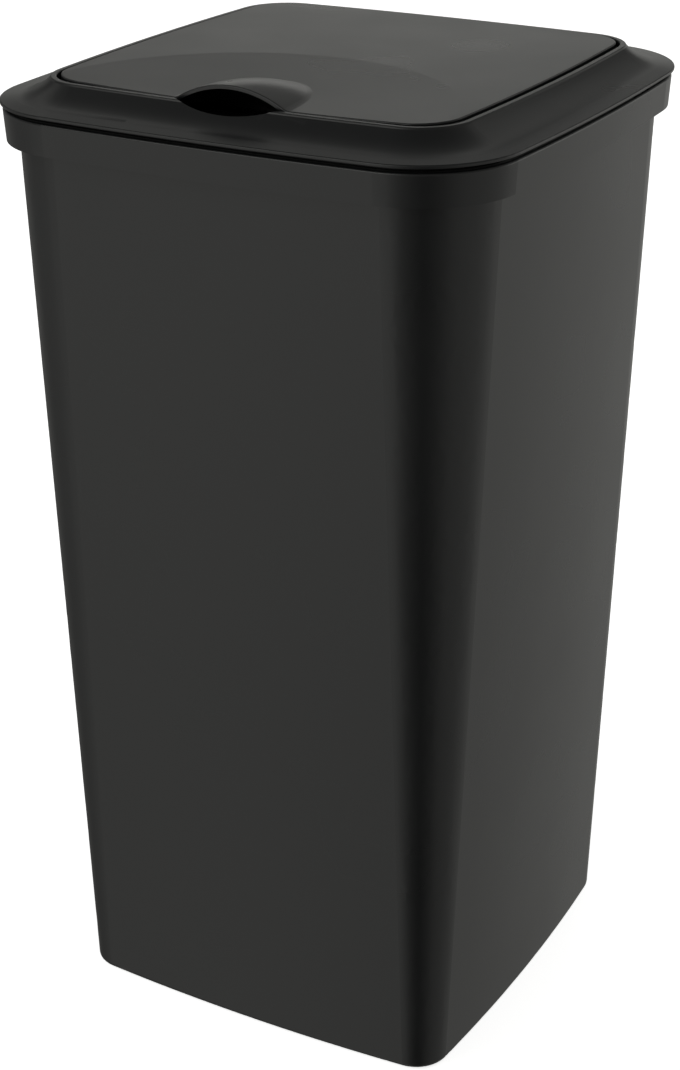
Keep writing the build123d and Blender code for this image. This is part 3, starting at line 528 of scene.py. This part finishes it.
class BIN_OT_stage(bpy.types.Operator):
    """Make the floor, the lamps, the world and the camera"""
    bl_idname = "bin.stage"
    bl_label = "Stage"

    def execute(self, context):
        scene = context.scene
        stage = scene.bin_stage
        scene.view_settings.view_transform = "Standard"
        self.floor(stage)
        for name, (place, share) in (("key_lamp", KEY_LAMP), ("back_lamp", BACK_LAMP)):
            self.lamp(name, place, share * stage.key_power)
        self.world(scene, stage)
        self.camera(scene)
        return {"FINISHED"}

    def floor(self, stage):
        material, tree = new_material("white_paper_sweep")
        path = add_node(tree, "ShaderNodeLightPath")
        paper = add_node(tree, "ShaderNodeBsdfDiffuse", {"Color": linear("#c8c8c8")})
        glow = add_node(tree, "ShaderNodeEmission", {"Color": linear("#ffffff"), "Strength": FLOOR_GLOW})
        lit = add_node(tree, "ShaderNodeAddShader")
        tree.links.new(paper.outputs["BSDF"], lit.inputs[0])
        tree.links.new(glow.outputs["Emission"], lit.inputs[1])
        mix = add_node(tree, "ShaderNodeMixShader", {"Fac": path.outputs["Is Camera Ray"]})
        tree.links.new(paper.outputs["BSDF"], mix.inputs[1])
        tree.links.new(lit.outputs["Shader"], mix.inputs[2])
        add_node(tree, "ShaderNodeOutputMaterial", {"Surface": mix.outputs["Shader"]})
        mesh = bmesh.new()
        bmesh.ops.create_grid(mesh, x_segments=1, y_segments=1, size=stage.floor_size / 2)
        floor = new_piece("paper_floor", mesh, material)
        # glossy rays see the world's painted floor reflection in the floor's place
        floor.visible_glossy = False

    def lamp(self, name, place, power):
        light = bpy.data.lights.new(name, "AREA")
        light.shape = "SQUARE"
        light.size = LAMP_SIZE
        light.energy = power
        lamp = bpy.data.objects.new(name, light)
        lamp.location = place
        lamp.rotation_euler = (Vector(LAMP_TARGET) - Vector(place)).to_track_quat("-Z", "Y").to_euler()
        # the lamps stay out of reflections, which show the painted cards instead
        lamp.visible_glossy = False
        lamp.visible_camera = False
        bpy.context.scene.collection.objects.link(lamp)

    def world(self, scene, stage):
        """White behind the bin, painted reflections of a room with bright and dark walls, bright cards and a
        dark flag for glossy rays alone, and even fill.
        """
        world = bpy.data.worlds.new("studio")
        world.use_nodes = True
        scene.world = world
        tree = world.node_tree
        tree.nodes.clear()
        path = add_node(tree, "ShaderNodeLightPath")
        way = add_node(tree, "ShaderNodeTexCoord").outputs["Generated"]
        part = add_node(tree, "ShaderNodeSeparateXYZ", {0: way}).outputs
        front = add_node(tree, "ShaderNodeMath", {0: part["Y"], 1: -1.0}, operation="MULTIPLY")
        around = add_node(tree, "ShaderNodeMath", {
            0: part["X"], 1: front.outputs["Value"]}, operation="ARCTAN2").outputs["Value"]
        above = add_node(tree, "ShaderNodeMath", {0: part["Z"]}, operation="ARCSINE").outputs["Value"]
        # painted reflections: walls, floor and roof that glossy rays alone see, and that light nothing
        walls = brightness_by_angle(tree, around, PAINTED_REFLECTION_WALLS)
        low = brightness_by_angle(tree, above, PAINTED_REFLECTION_FLOOR)
        roof = brightness_by_angle(tree, above, PAINTED_REFLECTION_ROOF)
        low_walls = add_node(tree, "ShaderNodeMath", {0: walls, 1: low}, operation="MULTIPLY")
        upward = add_node(tree, "ShaderNodeMapRange", {
            "Value": above, "From Min": math.radians(HORIZON[0]), "From Max": math.radians(HORIZON[1])})
        painted_room_reflection = add_node(tree, "ShaderNodeMix", {
            "Factor": upward.outputs["Result"], "A": low_walls.outputs["Value"], "B": roof},
            data_type="FLOAT")
        # painted highlights and glints of the front, right and back cards, and painted shade of the left
        # flag
        front_glint_painted, right_glint_painted, back_glint_painted, left_shade_painted = [
            painted_card_brightness(tree, around, above, card)
            for card in (FRONT_PAINTED_GLINT, RIGHT_PAINTED_GLINT, BACK_PAINTED_GLINT, LEFT_PAINTED_SHADE)]
        open_share = add_node(tree, "ShaderNodeMath", {0: 1.0, 1: left_shade_painted}, operation="SUBTRACT")
        side_glints_painted = add_node(tree, "ShaderNodeMath", {0: front_glint_painted, 1: right_glint_painted}, operation="ADD")
        cards = add_node(tree, "ShaderNodeMath", {
            0: side_glints_painted.outputs["Value"], 1: back_glint_painted}, operation="ADD")
        mirrored = add_node(tree, "ShaderNodeMath", {
            0: painted_room_reflection.outputs["Result"], 1: open_share.outputs["Value"], 2: cards.outputs["Value"]},
            operation="MULTIPLY_ADD")
        # the painted reflections go to glossy and transmission rays; all other rays get the even fill
        mirror = add_node(tree, "ShaderNodeMath", {
            0: path.outputs["Is Glossy Ray"], 1: path.outputs["Is Transmission Ray"]}, operation="MAXIMUM")
        strength = add_node(tree, "ShaderNodeMix", {
            "Factor": mirror.outputs["Value"], "A": stage.fill, "B": mirrored.outputs["Value"]},
            data_type="FLOAT")
        room = add_node(tree, "ShaderNodeBackground", {
            "Color": linear("#fffffa"), "Strength": strength.outputs["Result"]})
        backdrop = add_node(tree, "ShaderNodeBackground", {"Color": linear("#ffffff"), "Strength": 1.0})
        seen = add_node(tree, "ShaderNodeMixShader", {"Fac": path.outputs["Is Camera Ray"]})
        tree.links.new(room.outputs["Background"], seen.inputs[1])
        tree.links.new(backdrop.outputs["Background"], seen.inputs[2])
        add_node(tree, "ShaderNodeOutputWorld", {"Surface": seen.outputs["Shader"]})

    def camera(self, scene):
        data = bpy.data.cameras.new("camera")
        data.lens = CAMERA_LENS
        data.sensor_width = SENSOR_WIDTH
        data.clip_start = NEAR_CLIP
        camera = bpy.data.objects.new("camera", data)
        yaw, pitch = math.radians(CAMERA_YAW), math.radians(CAMERA_PITCH)
        turn = Matrix.Rotation(yaw, 4, "Z") @ Matrix.Rotation(math.pi / 2 - pitch, 4, "X")
        roll = Matrix.Rotation(math.radians(CAMERA_ROLL), 4, "Z")
        camera.matrix_world = Matrix.Translation(CAMERA_PLACE) @ turn @ roll
        scene.collection.objects.link(camera)
        scene.camera = camera


class BIN_PT_panel(bpy.types.Panel):
    """Lists the bin's operators and settings"""
    bl_idname = "BIN_PT_panel"
    bl_label = "Push-top bin"
    bl_space_type = "VIEW_3D"
    bl_region_type = "UI"
    bl_category = "Bin"

    def draw(self, context):
        for kind in OPERATORS:
            self.layout.operator(kind.bl_idname)
        for group in (context.scene.bin_look, context.scene.bin_stage):
            for name in group.__annotations__:
                self.layout.prop(group, name)


OPERATORS = (BIN_OT_bucket, BIN_OT_lid, BIN_OT_flap, BIN_OT_hinge, BIN_OT_latch, BIN_OT_screws, BIN_OT_stage)
CLASSES = (BinLook, BinStage, *OPERATORS, BIN_PT_panel)


def register():
    for kind in CLASSES:
        bpy.utils.register_class(kind)
    bpy.types.Scene.bin_look = bpy.props.PointerProperty(type=BinLook)
    bpy.types.Scene.bin_stage = bpy.props.PointerProperty(type=BinStage)


def unregister():
    del bpy.types.Scene.bin_stage
    del bpy.types.Scene.bin_look
    for kind in reversed(CLASSES):
        bpy.utils.unregister_class(kind)


def main():
    register()
    bpy.ops.bin.bucket()
    bpy.ops.bin.lid()
    bpy.ops.bin.flap()
    bpy.ops.bin.hinge()
    bpy.ops.bin.latch()
    bpy.ops.bin.screws()
    bpy.ops.bin.stage()


if __name__ == "__main__":
    main()
